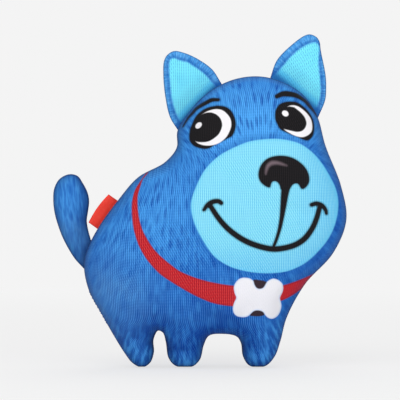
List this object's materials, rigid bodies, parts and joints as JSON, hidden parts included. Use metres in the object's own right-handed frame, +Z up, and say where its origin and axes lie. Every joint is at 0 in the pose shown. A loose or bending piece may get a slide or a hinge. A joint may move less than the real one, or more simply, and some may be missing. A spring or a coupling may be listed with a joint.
{
  "type": "squeaky stuffed dog toy",
  "caption": "Stuffed canvas toy in the shape of a standing dog, with ears, tail and a ribbon label caught in its edge seam and a round squeaker inside.",
  "frame": {"origin": "on the floor, under the middle of the toy's box, with the soles at z = 0", "axes": "+Z up through the ears, the printed front faces -Y, +X towards the picture's right, where the chest is, and the tail at -X"},
  "size_m": [0.211, 0.0818, 0.2391],
  "materials": {
    "cover_canvas": "coarse printed canvas with a rib, matt",
    "ear_canvas": "coarse printed canvas, light inside with a darker rim",
    "tail_canvas": "coarse printed canvas, matt",
    "label_ribbon": "woven satin ribbon, bare",
    "fibre_fill": "loose polyester fibre",
    "squeaker_bulb": "soft milky polyethylene",
    "reed_plastic": "hard clear-white plastic"
  },
  "bodies": {
    "toy_body": {"front_panel": "cover_canvas", "back_panel": "cover_canvas", "head_fill": "fibre_fill", "body_front_fill": "fibre_fill", "body_back_fill": "fibre_fill", "rear_leg_fill": "fibre_fill", "middle_leg_fill": "fibre_fill", "front_leg_fill": "fibre_fill", "squeaker_back_wall": "squeaker_bulb", "squeaker_bellows": "squeaker_bulb", "squeaker_reed_holder": "reed_plastic", "squeaker_reed": "reed_plastic"},
    "left_ear": {"left_ear_front": "ear_canvas", "left_ear_back": "cover_canvas", "left_ear_fill": "fibre_fill"},
    "right_ear": {"right_ear_front": "ear_canvas", "right_ear_back": "cover_canvas", "right_ear_fill": "fibre_fill"},
    "tail": {"tail_front": "tail_canvas", "tail_back": "tail_canvas", "tail_fill": "fibre_fill"},
    "label": {"side_label": "label_ribbon"},
    "squeaker_press": {"squeaker_front_wall": "squeaker_bulb"}
  },
  "joints": [
    {"name": "left_ear_flop", "type": "hinge", "parent": "toy_body", "child": "left_ear", "pos_m": [-0.00439, 0, 0.19118], "axis": [-0.6948, 0, -0.7192], "range_deg": [-70, 70], "stiffness_Nm_per_rad": 0.005},
    {"name": "right_ear_flop", "type": "hinge", "parent": "toy_body", "child": "right_ear", "pos_m": [0.07304, 0, 0.19985], "axis": [-0.7687, 0, 0.6397], "range_deg": [-70, 70], "stiffness_Nm_per_rad": 0.005},
    {"name": "tail_bend", "type": "hinge", "parent": "toy_body", "child": "tail", "pos_m": [-0.08445, 0, 0.0818], "axis": [-0.2457, 0, -0.9693], "range_deg": [-45, 45], "stiffness_Nm_per_rad": 0.01},
    {"name": "label_flip", "type": "hinge", "parent": "toy_body", "child": "label", "pos_m": [-0.06822, 0, 0.11063], "axis": [-0.5804, 0, -0.8144], "range_deg": [-60, 60], "stiffness_Nm_per_rad": 0.00005},
    {"name": "squeaker_squeeze", "type": "slide", "parent": "toy_body", "child": "squeaker_press", "axis": [0, 1, 0], "range_m": [0, 0.0065], "stiffness_N_per_m": 200, "deforming": ["squeaker_bellows"]}
  ]
}
